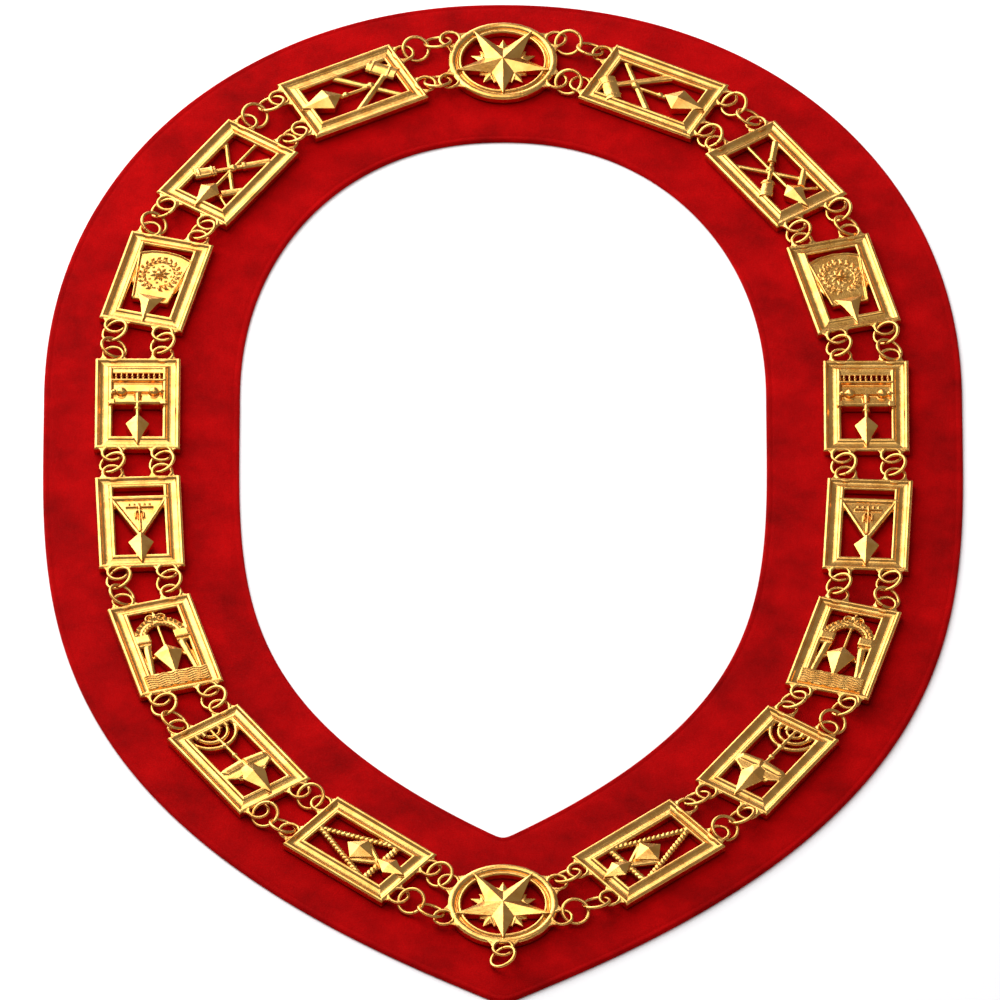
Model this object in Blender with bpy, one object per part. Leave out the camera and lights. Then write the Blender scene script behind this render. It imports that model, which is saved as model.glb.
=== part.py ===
# Chain of office: a red velvet collar with sixteen pierced plaques and two star medallions,
# joined by jump rings. It lies flat, +Y towards the nape and +Z up, with its underside on z = 0
# and the origin at the middle of its outline.

import math

import bmesh
import bpy
from mathutils import Matrix, Vector

MM = 0.001
CLEARANCE = 0.3 * MM
FLAT_ANGLE = math.radians(0.5)
RIM_SHARP_ANGLE = math.radians(40.0)
WIRE_SHARP_ANGLE = math.radians(80.0)

# Velvet collar
BAND_WIDTH = 81.0 * MM
VELVET_THICKNESS = 2.0 * MM
VELVET_EDGE_ROUND = 0.6 * MM
TIP_ROUND = 5.0 * MM
BAND_STEPS = 22

# Plaques
PLAQUES_PER_SIDE = 8
PLAQUE_WIDTH = 35.6 * MM
PLAQUE_LENGTH = 52.8 * MM
PLAQUE_THICKNESS = 3.4 * MM
PLAQUE_LIFT = 0.7 * MM
SIDE_BAR = 7.6 * MM
TOP_BAR = 6.2 * MM
BOTTOM_BAR = 7.6 * MM

# Cast lugs on the plaques and medallions
LUG_RADIUS = 4.05 * MM
LUG_WIRE = 0.6 * MM
LUG_SPREAD = 10.2 * MM
LUG_REACH = 2.6 * MM
LUG_DEPTH = 0.85 * MM
LUG_SIDES = 7
LUG_WIRE_SIDES = 4

# Star medallions
MEDALLION_DIAMETER = 45.5 * MM
RIM_WIDTH = 5.8 * MM
RIM_SIDES = 18
STAR_POINTS = 5
STAR_HEIGHT = 4.3 * MM
STAR_VALLEY = 7.2 * MM
CROWN_REACH = 13.4 * MM
TOP_MEDALLION_OUT = 6.4 * MM
BOTTOM_MEDALLION_IN = 9.8 * MM
CHAIN_END_TO_TIP = 5.5 * MM
CHAIN_DROP = 3.3 * MM

# Jump rings
RING_RADIUS = 5.4 * MM
RING_WIRE = 0.6 * MM
RING_TILT = math.radians(30.0)
RING_LIFT = 0.3 * MM
RING_SIDES = 10
RING_WIRE_SIDES = 5
FUSED_DEPTH = 0.25 * MM
PAIR_PITCH = 2.0 * (RING_RADIUS - RING_WIRE) + FUSED_DEPTH
SLACK = 1.8 * MM

# Emblems: heights are above the flat back that they share with the frame
EMBLEM_BACK = 0.0
EMBLEM_TOP = 2.3 * MM
EMBLEM_HIGH = 2.75 * MM
BOB_TOP = 4.8 * MM
BOB_EDGE = 3.2 * MM
ROD = 2.0 * MM
RAIL = 1.5 * MM
STRING = 1.3 * MM
KNOB = 2.5 * MM
SEAT = 1.0 * MM

LUG_HEIGHT = PLAQUE_THICKNESS - LUG_DEPTH
LINK_GAP = 2.0 * (LUG_REACH + RING_RADIUS) + SLACK
METAL_BACK = VELVET_THICKNESS + PLAQUE_LIFT
MEDALLION_RADIUS = 0.5 * MEDALLION_DIAMETER
WINDOW_HALF_WIDTH = 0.5 * PLAQUE_WIDTH - SIDE_BAR
WINDOW_TOP = 0.5 * PLAQUE_LENGTH - TOP_BAR
WINDOW_BOTTOM = BOTTOM_BAR - 0.5 * PLAQUE_LENGTH

# Form of the collar's middle line, as shares of its half width at the widest place
NECK_RISE = 1.286
NECK_DROP = 2.034
NECK_SQUARENESS = 2.11
FLANK_HANDLE = 0.757
POINT_HANDLE = 1.230
POINT_HALF_ANGLE = math.radians(59.9)
LINE_STEPS = 120

# Half section of a plaque's moulded frame: across the bar from its outer edge, and height,
# as shares of the bar's width and of the plaque's thickness
FRAME_SECTION = (
    {"across": 0.00, "height": 0.00},
    {"across": 0.00, "height": 1.00},
    {"across": 0.27, "height": 1.00},
    {"across": 0.35, "height": 0.66},
    {"across": 0.68, "height": 0.66},
    {"across": 0.76, "height": 0.92},
    {"across": 1.00, "height": 0.84},
    {"across": 1.00, "height": 0.00},
)

# Gap before each plaque and before the bottom medallion, as a share of the mean gap, and the
# plaque's shift outwards as a share of the lug's spread
LEFT_PLACES = (
    {"gap": 0.80, "out": 0.30},
    {"gap": 0.98, "out": 0.19},
    {"gap": 0.98, "out": 0.22},
    {"gap": 1.07, "out": 0.17},
    {"gap": 0.90, "out": 0.09},
    {"gap": 1.11, "out": 0.00},
    {"gap": 1.12, "out": 0.00},
    {"gap": 1.09, "out": -0.06},
    {"gap": 0.95, "out": 0.00},
)
RIGHT_PLACES = (
    {"gap": 0.81, "out": 0.28},
    {"gap": 0.98, "out": 0.05},
    {"gap": 1.01, "out": -0.05},
    {"gap": 1.10, "out": 0.08},
    {"gap": 0.92, "out": 0.16},
    {"gap": 1.09, "out": 0.16},
    {"gap": 1.08, "out": 0.05},
    {"gap": 1.07, "out": 0.10},
    {"gap": 0.94, "out": 0.00},
)

# Directions of the medallions' lugs from the level line, outer chain first
TOP_LUG_ANGLES = (math.radians(30.0), math.radians(-28.0))
BOTTOM_LUG_ANGLES = (math.radians(-18.0), math.radians(29.0))


def clear_scene():
    for thing in list(bpy.data.objects):
        bpy.data.objects.remove(thing, do_unlink=True)


def make_material(name, colour, roughness, metallic):
    material = bpy.data.materials.new(name)
    material.use_nodes = True
    shader = material.node_tree.nodes["Principled BSDF"]
    shader.inputs["Base Color"].default_value = (*colour, 1.0)
    shader.inputs["Roughness"].default_value = roughness
    shader.inputs["Metallic"].default_value = metallic
    return material


def mesh_from(name, bm):
    bmesh.ops.recalc_face_normals(bm, faces=bm.faces[:])
    mesh = bpy.data.meshes.new(name)
    bm.to_mesh(mesh)
    bm.free()
    return mesh


def shade_round(mesh, sharp_angle):
    """Smooth shading across rounded surfaces, with the real edges kept sharp."""
    mesh.shade_smooth()
    mesh.set_sharp_from_angle(angle=sharp_angle)


def add_object(name, mesh, material=None):
    thing = bpy.data.objects.new(name, mesh)
    bpy.context.scene.collection.objects.link(thing)
    if material and not mesh.materials:
        mesh.materials.append(material)
    return thing


def fuse(name, meshes):
    """One closed mesh from overlapping ones."""
    parts = [add_object(f"{name}_piece_{i}", mesh) for i, mesh in enumerate(meshes)]
    body = parts[0]
    for part in parts[1:]:
        join = body.modifiers.new("join", "BOOLEAN")
        join.operation = "UNION"
        join.solver = "EXACT"
        join.object = part
        part.hide_render = True
    graph = bpy.context.evaluated_depsgraph_get()
    fused = bpy.data.meshes.new_from_object(body.evaluated_get(graph))
    fused.name = name
    bm = bmesh.new()
    bm.from_mesh(fused)
    bmesh.ops.dissolve_limit(bm, angle_limit=FLAT_ANGLE, verts=bm.verts[:], edges=bm.edges[:])
    bm.to_mesh(fused)
    bm.free()
    for part in parts:
        bpy.data.objects.remove(part, do_unlink=True)
    for mesh in meshes:
        bpy.data.meshes.remove(mesh)
    return fused


# Outlines and simple bodies


def slab(points, low, high):
    """Flat outline raised from low to high."""
    bm = bmesh.new()
    bottom = bm.faces.new([bm.verts.new((x, y, low)) for x, y in points])
    raised = bmesh.ops.extrude_face_region(bm, geom=[bottom])
    top = [item for item in raised["geom"] if isinstance(item, bmesh.types.BMVert)]
    bmesh.ops.translate(bm, verts=top, vec=(0.0, 0.0, high - low))
    return mesh_from("slab", bm)


def bar(start, end, width, low, high, end_width=None):
    """Straight rod seen from above, between two points, that may widen to its end."""
    along = (Vector(end) - Vector(start)).normalized()
    side = Vector((-along.y, along.x))
    first = 0.5 * width * side
    last = 0.5 * (end_width or width) * side
    corners = (Vector(start) - first, Vector(end) - last, Vector(end) + last, Vector(start) + first)
    return slab([tuple(corner) for corner in corners], low, high)


def disc(centre, radius, low, high, sides=6):
    angles = [math.tau * (i + 0.5) / sides for i in range(sides)]
    points = [(centre[0] + radius * math.cos(a), centre[1] + radius * math.sin(a)) for a in angles]
    return slab(points, low, high)


def arc(centre, radius, start, end, width, low, high, steps):
    """Curved rod of even width."""
    turns = [start + (end - start) * i / steps for i in range(steps + 1)]
    outer = radius + 0.5 * width
    inner = radius - 0.5 * width
    points = [(centre[0] + outer * math.cos(a), centre[1] + outer * math.sin(a)) for a in turns]
    points += [(centre[0] + inner * math.cos(a), centre[1] + inner * math.sin(a)) for a in reversed(turns)]
    return slab(points, low, high)


def faceted(points, peak, low, edge, high):
    """Outline with upright sides, and facets that rise from its edge to one peak."""
    bm = bmesh.new()
    rim = [bm.verts.new((x, y, edge)) for x, y in points]
    base = [bm.verts.new((x, y, low)) for x, y in points]
    top = bm.verts.new((peak[0], peak[1], high))
    bm.faces.new(base)
    for i, corner in enumerate(rim):
        j = (i + 1) % len(rim)
        bm.faces.new((base[i], base[j], rim[j], corner))
        bm.faces.new((corner, rim[j], top))
    return mesh_from("faceted", bm)


def hoop(radius, wire, sides, wire_sides, matrix):
    """Wire ring."""
    bm = bmesh.new()
    upright = Matrix.Translation((radius, 0.0, 0.0)) @ Matrix.Rotation(0.5 * math.pi, 4, "X")
    bmesh.ops.create_circle(bm, segments=wire_sides, radius=wire, matrix=upright)
    bmesh.ops.spin(
        bm,
        geom=bm.verts[:] + bm.edges[:],
        axis=(0.0, 0.0, 1.0),
        cent=(0.0, 0.0, 0.0),
        angle=math.tau,
        steps=sides,
        use_merge=True,
    )
    bmesh.ops.transform(bm, matrix=matrix, verts=bm.verts[:])
    return mesh_from("hoop", bm)


def lug(x, y, outward):
    """Cast eye within the height of the frame: a corner of its outline points outward."""
    place = Matrix.Translation((x, y, LUG_HEIGHT)) @ Matrix.Rotation(outward, 4, "Z")
    return hoop(LUG_RADIUS, LUG_WIRE, LUG_SIDES, LUG_WIRE_SIDES, place)


# Collar's middle line and edges


def middle_line():
    """Right half of the line that the chain follows, from nape to point, with the chain's length."""
    points = []
    power = 2.0 / NECK_SQUARENESS
    for i in range(LINE_STEPS + 1):
        turn = 0.5 * math.pi * i / LINE_STEPS
        points.append(Vector((math.sin(turn) ** power, NECK_RISE * math.cos(turn) ** power)))
    tip = Vector((0.0, -NECK_DROP))
    handle = Vector((math.sin(POINT_HALF_ANGLE), math.cos(POINT_HALF_ANGLE)))
    curve = (Vector((1.0, 0.0)), Vector((1.0, -FLANK_HANDLE)), tip + POINT_HANDLE * handle, tip)
    for i in range(1, LINE_STEPS + 1):
        t = i / LINE_STEPS
        weights = ((1 - t) ** 3, 3 * t * (1 - t) ** 2, 3 * t * t * (1 - t), t**3)
        points.append(sum((w * p for w, p in zip(weights, curve)), Vector((0.0, 0.0))))
    plaques = PLAQUES_PER_SIDE * PLAQUE_LENGTH
    gaps = (PLAQUES_PER_SIDE + 1) * LINK_GAP
    wanted = MEDALLION_DIAMETER + plaques + gaps + CHAIN_END_TO_TIP
    scale = wanted / line_length(points)
    return [scale * point for point in points]


def line_length(points):
    return sum((b - a).length for a, b in zip(points, points[1:]))


def walk(points, distance):
    """Place on a line and the direction there."""
    for a, b in zip(points, points[1:]):
        step = (b - a).length
        if distance <= step:
            break
        distance -= step
    return a + (b - a) * (distance / step), (b - a) / step


def band_edge(line, offset):
    """Half of the band's edge at an offset outwards from its middle line, ending on the centre line."""
    edge = []
    for a, b in zip(line, line[1:]):
        along = (b - a).normalized()
        edge.append(0.5 * (a + b) + offset * Vector((-along.y, along.x)))
    edge[0] = Vector((0.0, line[0].y + offset))
    while edge[-1].x < 0.0:
        beyond = edge.pop()
    if offset > 0.0:
        beyond = edge[-1] + (edge[-1] - edge[-2]) * 2.0
    slope = (beyond.y - edge[-1].y) / (beyond.x - edge[-1].x)
    edge.append(Vector((0.0, edge[-1].y - slope * edge[-1].x)))
    return edge


def velvet_mesh(line):
    """Flat band with a rounded rim, mitred at the point."""
    outer = band_edge(line, 0.5 * BAND_WIDTH)
    inner = band_edge(line, -0.5 * BAND_WIDTH)
    bm = bmesh.new()
    rows = []
    for i in range(BAND_STEPS + 1):
        share = min(i / BAND_STEPS, 1.0 - 1e-9)
        spots = [walk(edge, share * line_length(edge))[0] for edge in (outer, inner)]
        rows.append(spots)
    mirrored = [[Vector((-spot.x, spot.y)) for spot in row] for row in rows[-2:0:-1]]
    pairs = [[bm.verts.new((p.x, p.y, 0.0)) for p in row] for row in rows + mirrored]
    for i, pair in enumerate(pairs):
        after = pairs[(i + 1) % len(pairs)]
        bm.faces.new((pair[0], pair[1], after[1], after[0]))
    raised = bmesh.ops.extrude_face_region(bm, geom=bm.faces[:])
    top = [item for item in raised["geom"] if isinstance(item, bmesh.types.BMVert)]
    bmesh.ops.translate(bm, verts=top, vec=(0.0, 0.0, VELVET_THICKNESS))
    bmesh.ops.recalc_face_normals(bm, faces=bm.faces[:])
    corners = [
        edge
        for edge in bm.edges
        if abs(edge.verts[0].co.z - edge.verts[1].co.z) > 0.5 * VELVET_THICKNESS
        and max(abs(vert.co.x) for vert in edge.verts) < CLEARANCE
        and edge.verts[0].co.y < 0.0
    ]
    bmesh.ops.bevel(bm, geom=corners, offset=TIP_ROUND, segments=1, profile=0.5, affect="EDGES", material=-1)
    rims = [
        edge
        for edge in bm.edges
        if min(vert.co.z for vert in edge.verts) > 0.5 * VELVET_THICKNESS
        and abs(edge.link_faces[0].normal.z - edge.link_faces[1].normal.z) > 0.5
    ]
    bmesh.ops.bevel(
        bm, geom=rims, offset=VELVET_EDGE_ROUND, segments=1, profile=0.5, affect="EDGES", material=-1
    )
    return mesh_from("velvet_collar", bm)


# Plaques. Their emblems are laid out in shares of the window: u to the right, v upwards, both
# from -1 to 1.


def at(u, v):
    middle = 0.5 * (WINDOW_TOP + WINDOW_BOTTOM)
    half = 0.5 * (WINDOW_TOP - WINDOW_BOTTOM)
    return (u * WINDOW_HALF_WIDTH, middle + v * half)


def frame_body():
    """Moulded rectangular frame with sharp mitres."""
    bm = bmesh.new()
    loops = []
    for row in FRAME_SECTION:
        right = 0.5 * PLAQUE_WIDTH - row["across"] * SIDE_BAR
        top = 0.5 * PLAQUE_LENGTH - row["across"] * TOP_BAR
        bottom = -0.5 * PLAQUE_LENGTH + row["across"] * BOTTOM_BAR
        height = row["height"] * PLAQUE_THICKNESS
        corners = ((right, bottom), (right, top), (-right, top), (-right, bottom))
        loops.append([bm.verts.new((x, y, height)) for x, y in corners])
    for i, loop in enumerate(loops):
        after = loops[(i + 1) % len(loops)]
        for j in range(4):
            k = (j + 1) % 4
            bm.faces.new((loop[j], loop[k], after[k], after[j]))
    return mesh_from("frame", bm)


def plaque_lugs():
    y = 0.5 * PLAQUE_LENGTH + LUG_REACH
    return [lug(sx * LUG_SPREAD, sy * y, 0.5 * math.pi * sy) for sx in (-1, 1) for sy in (-1, 1)]


def bob(top, shoulder, half_width, tip):
    """Faceted plumb bob, its tip over the bottom bar."""
    outline = (at(0.0, top), at(half_width, shoulder), at(0.0, tip), at(-half_width, shoulder))
    return faceted(outline, at(0.0, shoulder), EMBLEM_BACK, BOB_EDGE, BOB_TOP)


def rod(start, end, width=ROD, end_width=None, high=EMBLEM_TOP):
    return bar(at(*start), at(*end), width, EMBLEM_BACK, high, end_width)


def panel(points, high=EMBLEM_TOP):
    return slab([at(*point) for point in points], EMBLEM_BACK, high)


def emblem_gavel():
    return [
        rod((1.1, 0.92), (-1.1, -0.2), ROD, 1.4 * ROD),
        rod((-0.5, 0.95), (1.1, -0.18), 1.3 * ROD, 1.7 * ROD, high=EMBLEM_HIGH),
        rod((-1.08, 0.62), (-0.12, 1.04), 3.4 * ROD, high=0.96 * EMBLEM_HIGH),
        rod((0.02, 0.44), (0.0, -0.45), STRING, high=0.9 * EMBLEM_TOP),
        bob(-0.3, -0.62, 0.6, -1.24),
    ]


def emblem_rods():
    return [
        rod((0.0, 1.04), (0.0, -0.6), STRING, high=0.9 * EMBLEM_TOP),
        rod((-1.1, 0.74), (1.1, -0.62)),
        rod((1.1, 0.8), (-1.1, -0.48), high=EMBLEM_HIGH),
        disc(at(-0.86, -0.34), 1.25 * KNOB, EMBLEM_BACK, 1.1 * EMBLEM_HIGH),
        disc(at(0.86, -0.48), 0.8 * KNOB, EMBLEM_BACK, 1.05 * EMBLEM_HIGH),
        bob(-0.45, -0.68, 0.46, -1.24),
    ]


def emblem_shield():
    outline = (
        (-1.08, 0.72),
        (-0.6, 0.83),
        (0.0, 0.87),
        (0.6, 0.83),
        (1.08, 0.72),
        (1.08, 0.1),
        (0.72, -0.62),
        (-0.72, -0.62),
        (-1.08, 0.1),
    )
    return [
        panel(outline),
        disc(at(0.0, 0.2), 2.9 * KNOB, EMBLEM_BACK, 1.1 * EMBLEM_HIGH, 8),
        bob(-0.4, -0.74, 0.34, -1.24),
    ]


def emblem_rails():
    return [
        panel(((-1.08, -0.03), (1.08, -0.03), (1.08, 1.04), (-1.08, 1.04))),
        rod((-1.2, 0.02), (1.2, 0.02), 1.4 * RAIL, high=1.15 * EMBLEM_HIGH),
        rod((-1.08, 0.36), (1.08, 0.36), RAIL, high=EMBLEM_HIGH),
        rod((-1.08, 0.68), (1.08, 0.68), RAIL, high=EMBLEM_HIGH),
        disc(at(-0.66, 0.45), 0.8 * KNOB, EMBLEM_BACK, 1.2 * EMBLEM_HIGH),
        disc(at(0.66, 0.45), 0.8 * KNOB, EMBLEM_BACK, 1.2 * EMBLEM_HIGH),
        rod((0.0, 0.2), (0.0, -0.6), 1.3 * ROD, STRING, high=1.25 * EMBLEM_HIGH),
        bob(-0.35, -0.65, 0.48, -1.24),
    ]


def emblem_triangle():
    border = 0.5 * RAIL
    corners = (at(-1.15, 0.7), at(1.15, 0.7), at(0.0, -0.44))
    edges = zip(corners, corners[1:] + corners[:1])
    return [
        panel(((-1.1, 0.68), (1.1, 0.68), (0.0, -0.46))),
        *(bar(a, b, 3.0 * border, EMBLEM_BACK, 1.1 * EMBLEM_HIGH) for a, b in edges),
        rod((0.0, 0.42), (0.0, 0.08), 1.2 * ROD, high=EMBLEM_HIGH),
        bob(-0.36, -0.66, 0.52, -1.24),
    ]


def emblem_scroll():
    centre = at(0.0, 0.28)
    radius = 0.78 * WINDOW_HALF_WIDTH
    legs = (-1, 1)
    return [
        arc(centre, radius, math.radians(-20), math.radians(200), 1.5 * ROD, EMBLEM_BACK, EMBLEM_HIGH, 6),
        *(rod((0.66 * s, 0.24), (1.0 * s, -1.04), 1.6 * ROD, ROD) for s in legs),
        rod((0.0, 1.04), (0.0, -0.2), STRING, high=0.9 * EMBLEM_TOP),
        panel(((-1.08, -1.05), (1.08, -1.05), (1.08, -0.82), (-1.08, -0.82)), high=EMBLEM_HIGH),
        bob(-0.02, -0.26, 0.6, -0.93),
    ]


def emblem_branches():
    centre = at(0.0, 1.03)
    reach = WINDOW_HALF_WIDTH
    half_turn = (math.radians(180), math.radians(360))
    return [
        arc(centre, 1.04 * reach, *half_turn, RAIL, EMBLEM_BACK, EMBLEM_TOP, 5),
        arc(centre, 0.7 * reach, *half_turn, RAIL, EMBLEM_BACK, EMBLEM_TOP, 4),
        rod((0.0, 1.04), (0.0, -0.4), RAIL, high=EMBLEM_HIGH),
        panel(((-1.08, -0.17), (1.08, -0.17), (1.08, -0.42), (0.0, -0.74), (-1.08, -0.42))),
        bob(-0.1, -0.62, 0.46, -1.24),
    ]


def leg_height(side):
    """The right leg passes under the left one where they cross."""
    return EMBLEM_HIGH - 0.3 * (side + 1) * MM


def emblem_rope():
    legs = (-1, 1)
    return [
        *(rod((0.0, 1.04), (1.12 * s, -0.55), 1.2 * ROD, high=leg_height(s)) for s in legs),
        rod((-1.1, -0.6), (1.1, -0.6), 1.3 * ROD),
        *(rod((0.55 * s, -0.05), (-0.2 * s, -0.72), 1.1 * ROD, high=0.9 * EMBLEM_TOP) for s in legs),
        faceted(
            (at(0.0, 0.3), at(0.62, -0.02), at(0.0, -0.4), at(-0.62, -0.02)),
            at(0.0, -0.02),
            EMBLEM_BACK,
            BOB_EDGE,
            BOB_TOP,
        ),
        bob(-0.5, -0.84, 0.42, -1.24),
    ]


EMBLEMS = {
    "gavel": emblem_gavel,
    "rods": emblem_rods,
    "shield": emblem_shield,
    "rails": emblem_rails,
    "triangle": emblem_triangle,
    "scroll": emblem_scroll,
    "branches": emblem_branches,
    "rope": emblem_rope,
}


# Medallions


def rim_body():
    """Moulded round rim."""
    bm = bmesh.new()
    half = math.pi / RIM_SIDES
    verts = []
    for row in FRAME_SECTION:
        x, y = polar(MEDALLION_RADIUS - row["across"] * RIM_WIDTH, half)
        verts.append(bm.verts.new((x, y, row["height"] * PLAQUE_THICKNESS)))
    for i, vert in enumerate(verts):
        bm.edges.new((vert, verts[(i + 1) % len(verts)]))
    bmesh.ops.spin(
        bm,
        geom=bm.verts[:] + bm.edges[:],
        axis=(0.0, 0.0, 1.0),
        cent=(0.0, 0.0, 0.0),
        angle=math.tau,
        steps=RIM_SIDES,
        use_merge=True,
    )
    return mesh_from("rim", bm)


def polar(radius, angle):
    return (radius * math.cos(angle), radius * math.sin(angle))


def star_body():
    """Five-pointed star with one point down, ridged to its middle."""
    reach = MEDALLION_RADIUS - RIM_WIDTH + SEAT
    half = math.pi / STAR_POINTS
    outline = []
    for i in range(STAR_POINTS):
        angle = -0.5 * math.pi + 2.0 * half * i
        outline.append(polar(reach, angle))
        outline.append(polar(STAR_VALLEY, angle + half))
    return faceted(outline, (0.0, 0.0), EMBLEM_BACK, 0.5 * PLAQUE_THICKNESS, STAR_HEIGHT)


def crown_body(angle):
    """Small toothed point in a valley of the star."""
    shares = ((0.45, 0.36), (0.84, 0.3), (0.76, 0.13), (1.0, 0.0))
    side = [polar(out * CROWN_REACH, angle + across) for out, across in shares]
    other = [polar(out * CROWN_REACH, angle - across) for out, across in reversed(shares[:-1])]
    return slab(side[::-1] + other[::-1], EMBLEM_BACK, 0.4 * PLAQUE_THICKNESS)


def medallion_lug_places(angles):
    """Centres of the cast eyes about the medallion: for each side, outer chain first."""
    radius = MEDALLION_RADIUS + LUG_REACH
    right = [Vector(polar(radius, angle)) for angle in angles]
    return {1: right, -1: [Vector((-spot.x, spot.y)) for spot in right]}


def medallion_mesh(name, angles, with_bottom_lug):
    pieces = [rim_body(), star_body()]
    step = math.tau / STAR_POINTS
    pieces += [crown_body(0.5 * math.pi + i * step) for i in range(STAR_POINTS)]
    places = medallion_lug_places(angles)
    spots = places[-1] + places[1]
    if with_bottom_lug:
        spots.append(Vector((0.0, -MEDALLION_RADIUS - LUG_REACH)))
    pieces += [lug(spot.x, spot.y, math.atan2(spot.y, spot.x)) for spot in spots]
    mesh = fuse(name, pieces)
    shade_round(mesh, RIM_SHARP_ANGLE)
    return mesh


# Jump rings


def ring_mesh(name, places):
    """Rings along X: each with its place and the sign of its tilt about X."""
    meshes = []
    for x, sign in places:
        place = Matrix.Translation((x, 0.0, 0.0)) @ Matrix.Rotation(sign * RING_TILT, 4, "X")
        meshes.append(hoop(RING_RADIUS, RING_WIRE, RING_SIDES, RING_WIRE_SIDES, place))
    mesh = fuse(name, meshes) if len(meshes) > 1 else meshes[0]
    shade_round(mesh, WIRE_SHARP_ANGLE)
    return mesh


def rings_between(start, end):
    """How many rings reach from one lug's hole to the other."""
    distance = (end - start).length
    return 1 + max(0, round((distance - 2.0 * RING_RADIUS) / PAIR_PITCH))


def add_links(name, start, end, meshes, material):
    count = rings_between(start, end)
    if count not in meshes:
        first = -0.5 * (count - 1) * PAIR_PITCH
        places = [(first + i * PAIR_PITCH, (-1) ** i) for i in range(count)]
        meshes[count] = ring_mesh(f"rings_{count}", places)
    links = add_object(name, meshes[count], material)
    middle = 0.5 * (start + end)
    heading = end - start
    links.location = (middle.x, middle.y, METAL_BACK + LUG_HEIGHT + RING_LIFT)
    links.rotation_euler = (0.0, 0.0, math.atan2(heading.y, heading.x))
    return links


# Placing


def plaque_spots(line, places, side, shift):
    """Centre and turn of each plaque on one side."""
    spots = []
    share_sum = sum(row["gap"] for row in places)
    mean = (PLAQUES_PER_SIDE + 1) * LINK_GAP / share_sum
    station = MEDALLION_RADIUS
    for row in places[:-1]:
        station += row["gap"] * mean + 0.5 * PLAQUE_LENGTH
        spot, along = walk(line, station)
        spot = spot + row["out"] * LUG_SPREAD * Vector((-along.y, along.x))
        up = -along
        centre = Vector((side * spot.x, spot.y + shift))
        spots.append((centre, math.atan2(-side * up.x, up.y)))
        station += 0.5 * PLAQUE_LENGTH
    return spots


def plaque_lug_place(spot, across, up):
    """World place of one of a plaque's lugs: across and up are -1 or 1."""
    centre, turn = spot
    local = Vector((across * LUG_SPREAD, up * (0.5 * PLAQUE_LENGTH + LUG_REACH)))
    return centre + Matrix.Rotation(turn, 2) @ local


def main():
    clear_scene()
    gilt = make_material("gilt_brass", (0.83, 0.6, 0.22), 0.25, 1.0)
    velvet = make_material("red_velvet", (0.38, 0.0, 0.005), 0.9, 0.0)
    line = middle_line()
    band = velvet_mesh(line)
    depth = [vert.co.y for vert in band.vertices]
    shift = -0.5 * (min(depth) + max(depth))
    band.transform(Matrix.Translation((0.0, shift, 0.0)))
    add_object("velvet_collar", band, velvet)
    chain_shift = shift - CHAIN_DROP

    plaque_meshes = [fuse(name, [frame_body(), *draw(), *plaque_lugs()]) for name, draw in EMBLEMS.items()]
    top_mesh = medallion_mesh("medallion_top", TOP_LUG_ANGLES, False)
    bottom_mesh = medallion_mesh("medallion_bottom", BOTTOM_LUG_ANGLES, True)
    top = add_object("medallion_top", top_mesh, gilt)
    bottom = add_object("medallion_bottom", bottom_mesh, gilt)
    top_centre = Vector((0.0, line[0].y + chain_shift + TOP_MEDALLION_OUT))
    bottom_centre = Vector((0.0, line[-1].y + chain_shift + BOTTOM_MEDALLION_IN))
    top.location = (top_centre.x, top_centre.y, METAL_BACK)
    bottom.location = (bottom_centre.x, bottom_centre.y, METAL_BACK)
    top_lugs = medallion_lug_places(TOP_LUG_ANGLES)
    bottom_lugs = medallion_lug_places(BOTTOM_LUG_ANGLES)

    ring_meshes = {}
    for side, side_name, places in ((-1, "left", LEFT_PLACES), (1, "right", RIGHT_PLACES)):
        spots = plaque_spots(line, places, side, chain_shift)
        for spot, mesh, emblem in zip(spots, plaque_meshes, EMBLEMS):
            plaque = add_object(f"plaque_{emblem}_{side_name}", mesh, gilt)
            plaque.location = (spot[0].x, spot[0].y, METAL_BACK)
            plaque.rotation_euler = (0.0, 0.0, spot[1])
        for chain, outward, index in (("outer", side, 0), ("inner", -side, 1)):
            ends = [top_centre + top_lugs[side][index]]
            for spot in spots:
                ends.append(plaque_lug_place(spot, outward, 1))
                ends.append(plaque_lug_place(spot, outward, -1))
            ends.append(bottom_centre + bottom_lugs[side][index])
            for i in range(0, len(ends), 2):
                name = f"links_{side_name}_{i // 2 + 1}_{chain}"
                add_links(name, ends[i], ends[i + 1], ring_meshes, gilt)

    hanging = bottom_centre - Vector((0.0, MEDALLION_RADIUS + LUG_REACH + RING_RADIUS))
    pendant = add_object("pendant_ring", ring_mesh("pendant_ring", [(0.0, 1)]), gilt)
    pendant.location = (hanging.x, hanging.y, METAL_BACK + LUG_HEIGHT + RING_LIFT)
    pendant.rotation_euler = (0.0, 0.0, -0.5 * math.pi)


main()
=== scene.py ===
import math
import random

import bmesh
import bpy
from mathutils import Matrix, Vector, noise


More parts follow.
